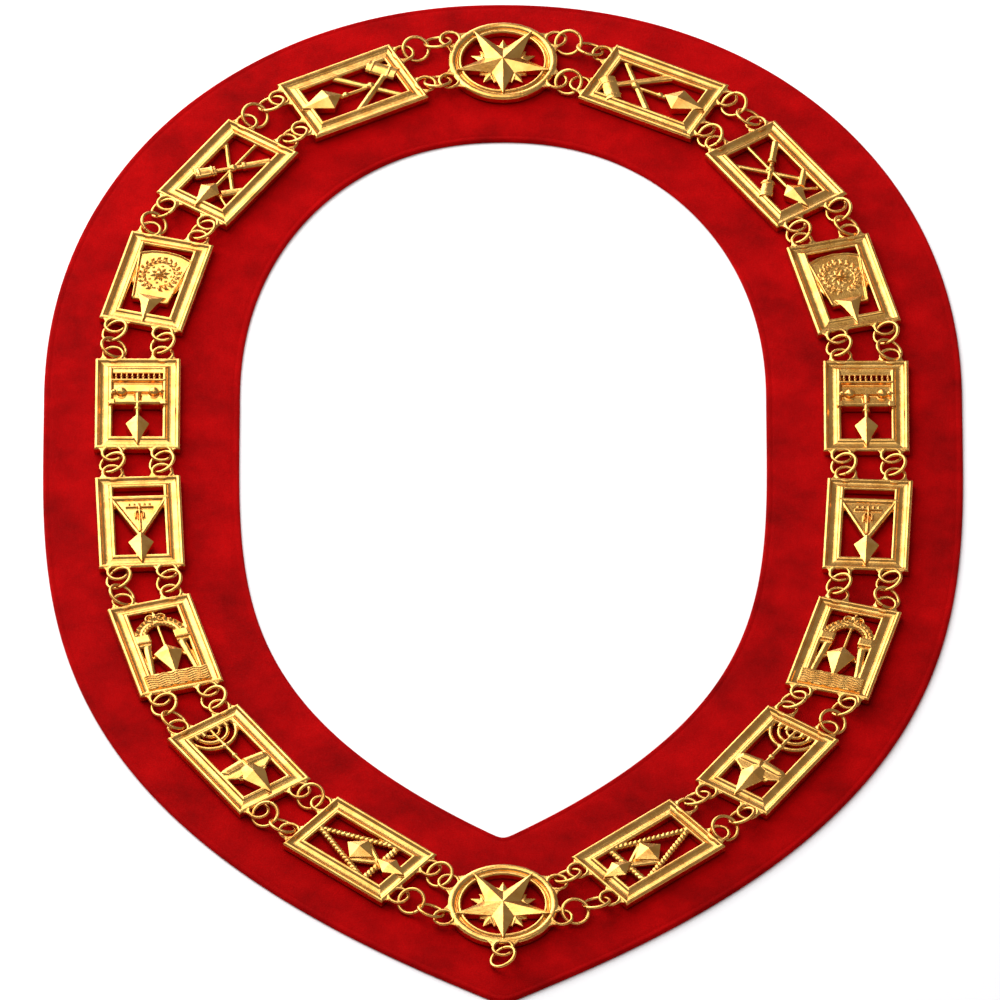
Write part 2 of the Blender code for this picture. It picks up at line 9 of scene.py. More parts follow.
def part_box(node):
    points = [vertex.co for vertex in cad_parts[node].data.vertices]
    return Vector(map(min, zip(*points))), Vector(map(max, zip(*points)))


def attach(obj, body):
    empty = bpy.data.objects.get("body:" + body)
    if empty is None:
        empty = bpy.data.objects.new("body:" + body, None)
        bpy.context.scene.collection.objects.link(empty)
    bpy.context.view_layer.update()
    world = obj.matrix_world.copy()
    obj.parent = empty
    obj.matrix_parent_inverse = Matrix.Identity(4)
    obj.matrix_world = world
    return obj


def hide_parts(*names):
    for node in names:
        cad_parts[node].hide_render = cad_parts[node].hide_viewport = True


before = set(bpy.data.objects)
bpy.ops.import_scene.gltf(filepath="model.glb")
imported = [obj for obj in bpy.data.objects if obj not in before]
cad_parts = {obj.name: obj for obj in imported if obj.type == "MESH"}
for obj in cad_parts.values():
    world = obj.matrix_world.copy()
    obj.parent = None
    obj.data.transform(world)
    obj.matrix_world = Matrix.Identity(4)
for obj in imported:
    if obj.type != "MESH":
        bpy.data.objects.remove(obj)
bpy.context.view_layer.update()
print("frame loaded")

# Pieces are drawn in millimetres and brought to metres when they are placed.
millimetre = 0.001
halfTurn = math.pi
fullTurn = math.tau


# Shared helpers


# linear colour from an sRGB hex code
def toLinear(code):
    values = [int(code[i : i + 2], 16) / 255 for i in (1, 3, 5)]
    linear = [((v + 0.055) / 1.055) ** 2.4 if v > 0.04045 else v / 12.92 for v in values]
    return (*linear, 1.0)


def addNode(tree, kind, inputs=None, **settings):
    node = tree.nodes.new(kind)
    for key, value in settings.items():
        setattr(node, key, value)
    for key, value in (inputs or {}).items():
        if isinstance(value, bpy.types.NodeSocket):
            tree.links.new(value, node.inputs[key])
        else:
            node.inputs[key].default_value = value
    return node


def newMaterial(name):
    material = bpy.data.materials.new(name)
    material.use_nodes = True
    shader = material.node_tree.nodes["Principled BSDF"]
    return material, material.node_tree, shader


def polar(radius, angle):
    return Vector((radius * math.cos(angle), radius * math.sin(angle)))


# shows a finished mesh, in millimetres and already in its place, instead of CAD nodes
def putPiece(name, mesh, material, slot, *nodes):
    mesh.transform(Matrix.Scale(millimetre, 4))
    mesh.materials.clear()
    mesh.materials.append(material)
    piece = bpy.data.objects.new(name, mesh)
    bpy.context.scene.collection.objects.link(piece)
    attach(piece, "root")
    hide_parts(*nodes)
    return piece


# Chain line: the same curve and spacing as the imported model

collar = {
    "bandWidth": 81.0,
    "thickness": 2.0,
    "neckRise": 1.286,
    "neckDrop": 2.034,
    "neckSquareness": 2.11,
    "flankHandle": 0.757,
    "pointHandle": 1.230,
    "pointHalfAngle": math.radians(59.9),
    "plaquesPerSide": 8,
    "linkGap": 17.8,
    "endToTip": 5.5,
    "chainDrop": 3.3,
    "metalBack": 2.7,
    "lineSteps": 120,
    # gap before each plaque as a share of the mean gap, and its shift outwards in mm
    "left": [(0.80, 3.06), (0.98, 1.938), (0.98, 2.244), (1.07, 1.734), (0.90, 0.918), (1.11, 0.0),
             (1.12, 0.0), (1.09, -0.612), (0.95, 0.0)],
    "right": [(0.81, 2.856), (0.98, 0.51), (1.01, -0.51), (1.10, 0.816), (0.92, 1.632), (1.09, 1.632),
              (1.08, 0.51), (1.07, 1.02), (0.94, 0.0)],
}
plaque = {
    "width": 35.6,
    "length": 52.8,
    "sideBar": 7.6,
    "topBar": 6.2,
    "bottomBar": 7.6,
    "lugSpread": 10.2,
    "lugReach": 2.6,
    "lugHeight": 2.55,
    "lugRadius": 4.05,
    "lugWire": 0.78,
    # share across the bar from its outer edge, and height in mm
    "moulding": [(0.0, 0.0), (0.0, 2.4), (0.03, 2.95), (0.08, 3.28), (0.14, 3.4), (0.2, 3.32), (0.25, 3.0),
                 (0.28, 2.6), (0.33, 2.3), (0.42, 2.12), (0.52, 2.06), (0.62, 2.12), (0.71, 2.3),
                 (0.75, 2.6), (0.8, 3.0), (0.88, 3.14), (0.95, 2.95), (0.99, 2.5), (1.0, 2.0), (1.0, 0.0)],
    "footTop": 2.95,
    "footBack": 1.5,
    "footSeat": 0.8,
}
medallion = {
    "radius": 22.75,
    "rimWidth": 5.8,
    "starPoints": 5,
    "starHeight": 4.3,
    "starEdge": 1.9,
    "starTip": 3.8,
    "starSeat": 3.55,
    "starValley": 7.6,
    "crownReach": 14.2,
    "crownPeak": 0.62,
    "crownHeight": 1.9,
    "crownEdge": 1.1,
    # one half of a crown point: share of its reach, and angle from its middle
    "crown": [(0.4, 0.42), (0.66, 0.36), (0.86, 0.33), (0.74, 0.16), (1.0, 0.0)],
    "rimSteps": 96,
    # the round rim curves away under a lug, so the lug's feet reach further than on a plaque
    "footReach": 0.6,
    "topOut": 6.4,
    "bottomIn": 9.8,
    "topLugs": (math.radians(30.0), math.radians(-28.0)),
    "bottomLugs": (math.radians(-18.0), math.radians(29.0)),
    # share across the rim from its outer edge, and height in mm
    "moulding": [(0.0, 0.0), (0.0, 2.2), (0.04, 2.75), (0.12, 3.15), (0.24, 3.38), (0.36, 3.38),
                 (0.47, 3.15), (0.55, 2.7), (0.6, 2.1), (0.66, 1.95), (0.71, 2.3), (0.78, 2.85),
                 (0.86, 3.0), (0.94, 2.85), (1.0, 2.2), (1.0, 0.0)],
}
jumpRing = {
    "radius": 5.4,
    "wire": 0.76,
    "tilt": math.radians(26.0),
    "tiltSpread": math.radians(2.5),
    "swing": math.radians(9.0),
    "lift": 0.3,
    "pitch": 9.85,
    "slit": math.radians(3.5),
    "sharpAngle": math.radians(50.0),
    "seed": 7,
    "wireSides": 12,
    "roundSteps": 40,
}


def lineLength(points):
    return sum((b - a).length for a, b in zip(points, points[1:]))


# place on a line and the direction there
def walk(points, distance):
    for a, b in zip(points, points[1:]):
        step = (b - a).length
        if distance <= step:
            break
        distance -= step
    return a + (b - a) * (distance / step), (b - a) / step


# right half of the line that the chain follows, from nape to point
def middleLine():
    steps = collar["lineSteps"]
    power = 2.0 / collar["neckSquareness"]
    points = []
    for i in range(steps + 1):
        turn = 0.5 * halfTurn * i / steps
        points.append(Vector((math.sin(turn) ** power, collar["neckRise"] * math.cos(turn) ** power)))
    tip = Vector((0.0, -collar["neckDrop"]))
    angle = collar["pointHalfAngle"]
    handle = tip + collar["pointHandle"] * Vector((math.sin(angle), math.cos(angle)))
    curve = (Vector((1.0, 0.0)), Vector((1.0, -collar["flankHandle"])), handle, tip)
    for i in range(1, steps + 1):
        t = i / steps
        weights = ((1 - t) ** 3, 3 * t * (1 - t) ** 2, 3 * t * t * (1 - t), t**3)
        points.append(sum((w * p for w, p in zip(weights, curve)), Vector((0.0, 0.0))))
    count = collar["plaquesPerSide"]
    wanted = 2.0 * medallion["radius"] + count * plaque["length"] + (count + 1) * collar["linkGap"]
    scale = (wanted + collar["endToTip"]) / lineLength(points)
    return [scale * point for point in points]


# half of the band's edge, from the centre line at the nape to the centre line at the point
def bandEdge(line, offset):
    edge = []
    for a, b in zip(line, line[1:]):
        along = (b - a).normalized()
        edge.append(0.5 * (a + b) + offset * Vector((-along.y, along.x)))
    edge[0] = Vector((0.0, line[0].y + offset))
    while edge[-1].x < 0.0:
        beyond = edge.pop()
    if offset > 0.0:
        beyond = edge[-1] + (edge[-1] - edge[-2]) * 2.0
    slope = (beyond.y - edge[-1].y) / (beyond.x - edge[-1].x)
    edge.append(Vector((0.0, edge[-1].y - slope * edge[-1].x)))
    return edge


line = middleLine()
velvetBox = [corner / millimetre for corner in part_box("velvet_collar")]
outerEdge = bandEdge(line, 0.5 * collar["bandWidth"])
shift = velvetBox[1].y - outerEdge[0].y
chainShift = shift - collar["chainDrop"]


# Velvet collar

velvet = {
    "stations": 330,
    "columns": 44,
    "rim": 1.15,
    "rimSteps": 5,
    "rimFoot": 0.35,
    "rimTop": 0.97,
    "seamIn": 2.6,
    "seamDepth": 0.2,
    # the stitched groove: place as a share of seamIn, and depth as a share of seamDepth
    "seam": [(0.72, 0.25), (0.9, 0.8), (1.0, 1.0), (1.1, 0.8), (1.35, 0.3), (1.8, 0.04)],
    "sway": 0.16,
    "swaySize": 46.0,
    # finer waves: height as a share of the sway, and how many times shorter they are
    "fineSway": 0.35,
    "fineness": 3.1,
    "tipRounds": 5,
    "tipReach": 3,
    "colour": "#A00002",
    "dark": "#830001",
    "bright": "#B80204",
    "pile": 0.8,
    "roughness": 0.95,
    "gloss": 0.05,
    "sheen": 0.14,
    "sheenColour": "#F01808",
}


# closed cross-section of the band: share across from the outer edge and height
def velvetSection():
    top = collar["thickness"]
    width = collar["bandWidth"]
    rim = velvet["rim"] / width
    foot, rise = velvet["rimFoot"], velvet["rimTop"] - velvet["rimFoot"]
    face = velvet["rimTop"] * top
    section = [(rim * foot, 0.0), (0.0, foot * top)]
    for i in range(1, velvet["rimSteps"] + 1):
        turn = 0.5 * halfTurn * i / velvet["rimSteps"]
        section.append((rim * (1.0 - math.cos(turn)), top * (foot + rise * math.sin(turn))))
    for share, depth in velvet["seam"]:
        section.append((share * velvet["seamIn"] / width, face - velvet["seamDepth"] * depth))
    first = section[-1][0]
    count = velvet["columns"] // 2
    section += [(first + (0.5 - first) * i / count, face) for i in range(1, count)]
    return section + [(0.5, face)] + [(1.0 - share, height) for share, height in reversed(section)]


# rows of points across the band, down the right side from the nape and back up the left
def velvetRows(section):
    innerEdge = bandEdge(line, -0.5 * collar["bandWidth"])
    stations = velvet["stations"]
    rows = []
    for i in range(stations + 1):
        # a hair short of the full length, so that walk stops within the last step
        share = min(i / stations, 1.0 - 1e-9)
        outer, inner = (walk(edge, share * lineLength(edge))[0] for edge in (outerEdge, innerEdge))
        rows.append([outer.lerp(inner, across) for across, height in section])
    rows += [[Vector((-spot.x, spot.y)) for spot in row] for row in rows[-2:0:-1]]
    # the point is rounded a little
    near = range(stations - velvet["tipReach"], stations + velvet["tipReach"] + 1)
    for _ in range(velvet["tipRounds"]):
        moved = {}
        for i in near:
            before, after = rows[i - 1], rows[i + 1]
            moved[i] = [0.5 * p + 0.25 * (a + b) for a, p, b in zip(before, rows[i], after)]
        for i, row in moved.items():
            rows[i] = row
    return rows


# the upper face sways a little, as handled cloth does
def sway(x, y):
    place = Vector((x, y, 3.0)) / velvet["swaySize"]
    fine = velvet["fineSway"] * noise.noise(velvet["fineness"] * place)
    return velvet["sway"] * (noise.noise(place) + fine)


def makeVelvet():
    section = velvetSection()
    bm = bmesh.new()
    loops = []
    for row in velvetRows(section):
        loop = []
        for spot, (across, height) in zip(row, section):
            x, y = spot.x, spot.y + shift
            lift = sway(x, y) if height > 0.5 * collar["thickness"] else 0.0
            loop.append(bm.verts.new((x, y, height + lift)))
        loops.append(loop)
    for i, loop in enumerate(loops):
        after = loops[(i + 1) % len(loops)]
        for j, vert in enumerate(loop):
            k = (j + 1) % len(loop)
            bm.faces.new((vert, loop[k], after[k], after[j]))
    bmesh.ops.recalc_face_normals(bm, faces=bm.faces[:])
    mesh = bpy.data.meshes.new("velvet_band")
    bm.to_mesh(mesh)
    bm.free()
    mesh.shade_smooth()
    return mesh


# cut-pile cotton velvet, dyed red: mottled by brushing, with short upright pile
def cottonVelvet():
    material, tree, shader = newMaterial("cotton_velvet_dyed_red")
    place = addNode(tree, "ShaderNodeTexCoord").outputs["Object"]
    # brushed patches, 8 to 30 mm, give the soft light and dark clouds of handled pile
    clouds = addNode(tree, "ShaderNodeTexNoise",
                     {"Vector": place, "Scale": 42.0, "Detail": 5.0, "Roughness": 0.62}).outputs["Fac"]
    tone = addNode(tree, "ShaderNodeValToRGB", {"Fac": clouds})
    ramp = tone.color_ramp
    ramp.elements[0].position = 0.3
    ramp.elements[0].color = toLinear(velvet["dark"])
    ramp.elements[1].position = 0.72
    ramp.elements[1].color = toLinear(velvet["bright"])
    middle = ramp.elements.new(0.5)
    middle.color = toLinear(velvet["colour"])
    # tufts about half a millimetre wide keep the surface from looking like paper
    tufts = addNode(tree, "ShaderNodeTexNoise",
                    {"Vector": place, "Scale": 1900.0, "Detail": 3.0, "Roughness": 0.7}).outputs["Fac"]
    fleck = addNode(tree, "ShaderNodeMapRange",
                    {"Value": tufts, "From Min": 0.3, "From Max": 0.7, "To Min": 0.8, "To Max": 1.15})
    colour = addNode(tree, "ShaderNodeMix", data_type="RGBA", blend_type="MULTIPLY")
    colour.inputs["Factor"].default_value = 1.0
    tree.links.new(tone.outputs["Color"], colour.inputs["A"])
    tree.links.new(fleck.outputs["Result"], colour.inputs["B"])
    tree.links.new(colour.outputs["Result"], shader.inputs["Base Color"])
    bump = addNode(tree, "ShaderNodeBump",
                   {"Height": tufts, "Strength": velvet["pile"], "Distance": 0.0004})
    tree.links.new(bump.outputs["Normal"], shader.inputs["Normal"])
    shader.inputs["Roughness"].default_value = velvet["roughness"]
    shader.inputs["Specular IOR Level"].default_value = velvet["gloss"]
    # light caught by the tips of the pile at low angles
    shader.inputs["Sheen Weight"].default_value = velvet["sheen"]
    shader.inputs["Sheen Roughness"].default_value = 0.5
    shader.inputs["Sheen Tint"].default_value = toLinear(velvet["sheenColour"])
    return material


velvetPiece = putPiece("velvet_band", makeVelvet(), cottonVelvet(), "velvet", "velvet_collar")
print("velvet made")


# Castings: closed shells in millimetres, fused by a fine remesh

casting = {
    "grain": 0.18,
    "thinning": 0.13,
    "softening": 2,
    # every window has a plumb bob, and all but one end over the bottom bar
    "bobTip": -23.5,
    "bobHeight": 4.8,
    "bobEdge": 3.2,
    # a leaf is widest at this share of its length, and its edge has this share of its height
    "leafWidest": 0.45,
    "leafEdge": 0.62,
    # a grain of rope slants across the rope, and overlaps the next
    "grainSlant": math.radians(48.0),
    "grainShare": 0.62,
}


# round rod lying in the plaque, flattened to its height
def addRod(bm, start, end, width, endWidth=None, high=2.3, low=0.0, sides=20):
    start, end = Vector(start), Vector(end)
    reach = end - start
    middle = 0.5 * (start + end)
    first = 0.5 * width
    last = 0.5 * (endWidth or width)
    squash = (high - low) / (first + last)
    place = Matrix.Translation((middle.x, middle.y, 0.5 * (high + low)))
    place = place @ Matrix.Rotation(math.atan2(reach.y, reach.x), 4, "Z")
    place = place @ Matrix.Diagonal((1.0, 1.0, squash, 1.0)) @ Matrix.Rotation(0.5 * halfTurn, 4, "Y")
    bmesh.ops.create_cone(bm, cap_ends=True, segments=sides, radius1=first, radius2=last,
                          depth=reach.length, matrix=place)


def addBall(bm, centre, radius, high, low=0.0):
    place = Matrix.Translation((centre[0], centre[1], 0.5 * (high + low)))
    place = place @ Matrix.Diagonal((1.0, 1.0, 0.5 * (high - low) / radius, 1.0))
    bmesh.ops.create_icosphere(bm, subdivisions=3, radius=radius, matrix=place)


def outlineFace(bm, points, height):
    return bm.faces.new([bm.verts.new((point[0], point[1], height)) for point in points])


def raiseFace(bm, face, rise):
    raised = bmesh.ops.extrude_face_region(bm, geom=[face])["geom"]
    top = [item for item in raised if isinstance(item, bmesh.types.BMVert)]
    bmesh.ops.translate(bm, verts=top, vec=(0.0, 0.0, rise))
    return [item for item in raised if isinstance(item, bmesh.types.BMFace)][0]


# flat plate with softened top edges
def addSlab(bm, points, high, low=0.0, soft=0.35):
    top = raiseFace(bm, outlineFace(bm, points, low), high - low)
    if soft:
        bmesh.ops.bevel(bm, geom=top.edges[:], offset=soft, segments=2, profile=0.5, affect="EDGES",
                        material=-1)


# outline with upright sides and facets that rise from its edge to one peak
def addKite(bm, points, peak, high, edge, low=0.0):
    top = raiseFace(bm, outlineFace(bm, points, low), edge - low)
    rim = top.verts[:]
    centre = bmesh.ops.poke(bm, faces=[top])["verts"][0]
    centre.co = (peak[0], peak[1], high)
    return rim


# a circle's corners, edges and face, in the same order each time
def circleParts(verts):
    edges = dict.fromkeys(edge for vert in verts for edge in vert.link_edges)
    faces = dict.fromkeys(face for vert in verts for face in vert.link_faces)
    return [*verts, *edges, *faces]


# curved round rod
def addBow(bm, centre, radius, start, end, width, high, low=0.0, steps=28):
    middle = 0.5 * (high + low)
    squash = (high - low) / width
    place = Matrix.Translation((centre[0], centre[1], middle)) @ Matrix.Rotation(start, 4, "Z")
    place = place @ Matrix.Translation((radius, 0.0, 0.0)) @ Matrix.Diagonal((1.0, 1.0, squash, 1.0))
    place = place @ Matrix.Rotation(0.5 * halfTurn, 4, "X")
    disc = bmesh.ops.create_circle(bm, cap_ends=True, segments=16, radius=0.5 * width, matrix=place)
    bmesh.ops.spin(bm, geom=circleParts(disc["verts"]), axis=(0.0, 0.0, 1.0),
                   cent=(centre[0], centre[1], middle), angle=end - start, steps=steps)


# wire ring about Z; one that isn't a full turn gets closed ends
def addHoop(bm, radius, wire, matrix, sides=12, steps=40, turn=fullTurn):
    whole = turn >= fullTurn
    place = Matrix.Translation((radius, 0.0, 0.0)) @ Matrix.Rotation(0.5 * halfTurn, 4, "X")
    before = set(bm.verts)
    circle = bmesh.ops.create_circle(bm, cap_ends=not whole, segments=sides, radius=wire, matrix=place)
    bmesh.ops.spin(bm, geom=circleParts(circle["verts"]), axis=(0.0, 0.0, 1.0), cent=(0.0, 0.0, 0.0),
                   angle=turn, steps=steps, use_merge=whole)
    bmesh.ops.transform(bm, matrix=matrix, verts=[vert for vert in bm.verts if vert not in before])


# cast eye with a flared foot on either side, joined to the edge behind it
def addLug(bm, x, y, outward, reach):
    place = Matrix.Translation((x, y, plaque["lugHeight"])) @ Matrix.Rotation(outward, 4, "Z")
    addHoop(bm, plaque["lugRadius"], plaque["lugWire"], place, steps=36)
    # outwards and sideways from the middle of the eye, ending inside the edge behind it
    seat = -reach - plaque["footSeat"]
    foot = ((0.2, 4.55), (0.6, 3.5), (-1.2, 3.2), (seat, 2.7), (seat, 6.7), (-1.9, 5.0))
    for side in (-1, 1):
        corners = [place @ Vector((out, side * across, 0.0)) for out, across in foot]
        addSlab(bm, corners, plaque["footTop"], plaque["footBack"], soft=0.3)


# two-strand rope: a row of slanted grains
def addRope(bm, start, end, width, high, pitch=1.7):
    start, end = Vector(start), Vector(end)
    reach = end - start
    angle = math.atan2(reach.y, reach.x)
    count = round(reach.length / pitch)
    for i in range(count + 1):
        spot = start + reach * (i / count)
        place = Matrix.Translation((spot.x, spot.y, 0.5 * high))
        place = place @ Matrix.Rotation(angle + casting["grainSlant"], 4, "Z")
        share = casting["grainShare"]
        place = place @ Matrix.Diagonal((share * width, share * pitch, 0.5 * high, 1.0))
        bmesh.ops.create_icosphere(bm, subdivisions=2, radius=1.0, matrix=place)


# small ridged leaf that points away from its root
def addLeaf(bm, root, angle, length, width, high, low=0.0):
    root = Vector(root)
    along = polar(1.0, angle)
    side = Vector((-along.y, along.x)) * (0.5 * width)
    widest = root + casting["leafWidest"] * length * along
    outline = (root, widest - side, root + length * along, widest + side)
    addKite(bm, outline, widest, high, casting["leafEdge"] * high, low)


# faceted plumb bob
def addBob(bm, top, shoulder, half, tip=casting["bobTip"]):
    outline = ((0.0, top), (half, shoulder), (0.0, tip), (-half, shoulder))
    addKite(bm, outline, (0.0, shoulder), casting["bobHeight"], casting["bobEdge"])


# moulded frame of a plaque, mitred at its corners
def addFrame(bm):
    loops = []
    for across, height in plaque["moulding"]:
        right = 0.5 * plaque["width"] - across * plaque["sideBar"]
        top = 0.5 * plaque["length"] - across * plaque["topBar"]
        bottom = across * plaque["bottomBar"] - 0.5 * plaque["length"]
        corners = ((right, bottom), (right, top), (-right, top), (-right, bottom))
        loops.append([bm.verts.new((x, y, height)) for x, y in corners])
    for i, loop in enumerate(loops):
        after = loops[(i + 1) % len(loops)]
        for j in range(4):
            k = (j + 1) % 4
            bm.faces.new((loop[j], loop[k], after[k], after[j]))
    for sx in (-1, 1):
        for sy in (-1, 1):
            y = sy * (0.5 * plaque["length"] + plaque["lugReach"])
            addLug(bm, sx * plaque["lugSpread"], y, 0.5 * halfTurn * sy, plaque["lugReach"])


# Emblems, in millimetres from the middle of the plaque. The window is 20.4 wide, from -18.8 to 20.2.

shield = {
    "middle": 4.6,
    "wreath": (7.1, 8.2),
    "leaves": 20,
    "stemStep": 0.2,
    "petals": 8,
}


def drawGavel(bm):
    addRod(bm, (11.2, 18.6), (-11.2, -3.2), 2.4, 3.2, high=2.4)
    addRod(bm, (-5.1, 19.2), (11.2, -2.8), 2.7, 3.5, high=2.9)
    # mallet head with a band near either end
    foot, crown = Vector((-11.0, 12.8)), Vector((-1.2, 21.0))
    addRod(bm, foot, crown, 6.9, 7.2, high=3.4, sides=28)
    along = (crown - foot).normalized()
    for distance in (2.2, 9.6):
        spot = foot + distance * along
        addRod(bm, spot - 0.4 * along, spot + 0.4 * along, 7.7, high=3.7, sides=28)
    addBall(bm, (0.1, 8.4), 1.9, 3.4)
    addRod(bm, (0.0, 9.3), (0.0, -8.0), 1.6, 2.2, high=2.3)
    addBall(bm, (0.0, -3.2), 1.5, 3.0)
    addBob(bm, -5.2, -11.4, 6.1)


def drawRods(bm):
    addRod(bm, (0.0, 21.0), (0.0, -11.0), 1.9, high=2.3)
    addRod(bm, (-11.2, 15.1), (9.2, -9.2), 2.2)
    addRod(bm, (11.2, 16.3), (-11.2, -8.7), 2.2, high=2.8)
    addRod(bm, (10.6, 15.6), (2.9, 7.1), 3.6, 3.3, high=3.4)
    addRod(bm, (3.6, 7.9), (2.6, 6.8), 4.1, high=3.7)
    # thick handle with two bands
    foot, crown = Vector((-11.0, -8.3)), Vector((-4.9, -1.5))
    addRod(bm, foot, crown, 5.9, 5.2, high=3.7, sides=28)
    step = Vector((0.24, 0.27))
    for share in (0.2, 0.82):
        spot = foot.lerp(crown, share)
        addRod(bm, spot - step, spot + step, 6.4, high=3.95, sides=28)
    addRod(bm, (10.9, -4.9), (4.8, -11.4), 3.4, 3.6, high=3.2)
    addRod(bm, (10.9, -16.2), (3.2, -11.6), 1.6, high=2.1)
    addBall(bm, (0.0, 4.0), 1.9, 3.3)
    addBob(bm, -8.1, -12.6, 4.7)


def drawShield(bm):
    plate = ((-11.0, 14.7), (-6.1, 16.9), (0.0, 17.7), (6.1, 16.9), (11.0, 14.7), (11.0, 2.65),
             (7.3, -11.4), (-7.3, -11.4), (-11.0, 2.65))
    addSlab(bm, plate, 2.3)
    for side in (-1, 1):
        addRod(bm, (side * 10.8, 14.6), (side * 7.4, -11.2), 1.3, high=3.2)
    for first, last in zip(plate[:4], plate[1:5]):
        addRod(bm, first, last, 1.1, high=3.1)
    addRod(bm, (-7.6, -11.2), (7.6, -11.2), 1.1, high=2.9)
    middle = Vector((0.0, shield["middle"]))
    halfWidth, halfHeight = shield["wreath"]
    count = shield["leaves"]
    for i in range(count):
        angle = fullTurn * (i + 0.5) / count
        beyond = angle + shield["stemStep"]
        spot = middle + Vector((halfWidth * math.cos(angle), halfHeight * math.sin(angle)))
        after = middle + Vector((halfWidth * math.cos(beyond), halfHeight * math.sin(beyond)))
        addRod(bm, spot, after, 0.9, high=2.9)
        # leaves rise from the bottom on either side and meet at the top
        rise = angle + 0.5 * halfTurn if math.cos(angle) > 0.0 else angle - 0.5 * halfTurn
        turn = 1.0 if math.cos(angle) > 0.0 else -1.0
        addLeaf(bm, spot, rise - 0.7 * turn, 3.3, 1.6, 3.6, 1.8)
        addLeaf(bm, spot, rise + 0.7 * turn, 3.1, 1.5, 3.5, 1.8)
    # rosette with a bead between petals
    count = shield["petals"]
    for i in range(count):
        angle = fullTurn * (i + 0.5) / count
        addLeaf(bm, middle + polar(0.6, angle), angle, 4.1, 2.1, 3.5, 1.8)
        addBall(bm, middle + polar(4.9, angle + 0.5 * fullTurn / count), 0.5, 2.9, 1.6)
    addBall(bm, middle, 1.4, 4.1, 1.2)
    block = ((-6.0, -8.6), (6.0, -8.6), (3.4, -13.4), (0.0, casting["bobTip"]), (-3.4, -13.4))
    addKite(bm, block, (0.0, -12.8), 4.6, 2.9)


def drawRails(bm):
    addSlab(bm, ((-11.0, -0.8), (11.0, -0.8), (11.0, 14.8), (-11.0, 14.8)), 2.0)
    addSlab(bm, ((-11.0, 18.2), (11.0, 18.2), (11.0, 21.0), (-11.0, 21.0)), 2.6)
    for i in range(9):
        x = -9.0 + 2.25 * i
        addRod(bm, (x, 14.5), (x, 18.8), 1.0, high=2.4)
        addBall(bm, (x, 16.6), 0.8, 2.8)
    addRod(bm, (-11.0, 13.6), (11.0, 13.6), 1.6, high=3.6)
    addRod(bm, (-10.4, 7.0), (10.4, 7.0), 1.3, high=3.3)
    addRod(bm, (-12.2, 0.2), (12.2, 0.2), 2.1, high=4.1)
    for side in (-1, 1):
        block = ((-1.3, -1.5), (1.3, -1.5), (1.3, 1.5), (-1.3, 1.5))
        addSlab(bm, [(side * 10.6 + x, 0.2 + y) for x, y in block], 4.2)
        addBall(bm, (side * 6.7, 7.0), 2.3, 4.6)
        addBall(bm, (side * 9.7, 7.0), 1.3, 4.0)
    addRod(bm, (0.0, 4.8), (0.0, -11.0), 2.8, 1.8, high=3.7)
    addRod(bm, (0.0, -2.4), (0.0, -3.5), 3.6, high=3.9)
    addBall(bm, (0.0, 5.0), 1.6, 3.9)
    addBob(bm, -6.1, -12.0, 4.9)


def drawTriangle(bm):
    addSlab(bm, ((-11.0, 14.0), (11.0, 14.0), (0.0, -8.3)), 1.9, soft=0.0)
    corners = ((-11.4, 14.0), (11.4, 14.0), (0.0, -8.0))
    for first, last in zip(corners, corners[1:] + corners[:1]):
        addRod(bm, first, last, 2.2, high=3.1)
    addRod(bm, (-12.4, 14.3), (12.4, 14.3), 2.4, high=3.2)
    addRod(bm, (-5.6, 9.0), (5.6, 9.0), 1.1, high=3.0)
    for i in range(5):
        addRod(bm, (-4.2 + 2.1 * i, 9.0), (-4.2 + 2.1 * i, 11.2), 0.8, high=2.7)
    addRod(bm, (0.0, 9.0), (0.0, -5.0), 1.3, 1.0, high=3.1)
    addBow(bm, (0.0, 5.2), 1.6, 0.0, halfTurn, 0.9, 3.2)
    for side in (-1, 1):
        addRod(bm, (1.6 * side, 5.3), (1.6 * side, 2.6), 0.9, high=3.1)
    addBob(bm, -6.3, -12.2, 5.3)


scroll = {
    "centre": 6.2,
    "leaves": 9,
    "firstLeaf": 84.0,
    "leafStep": 13.5,
    "waves": 6,
    "firstWave": -16.2,
    "wavePitch": 1.28,
    "waveHeight": 0.42,
    "wavePoints": 41,
}


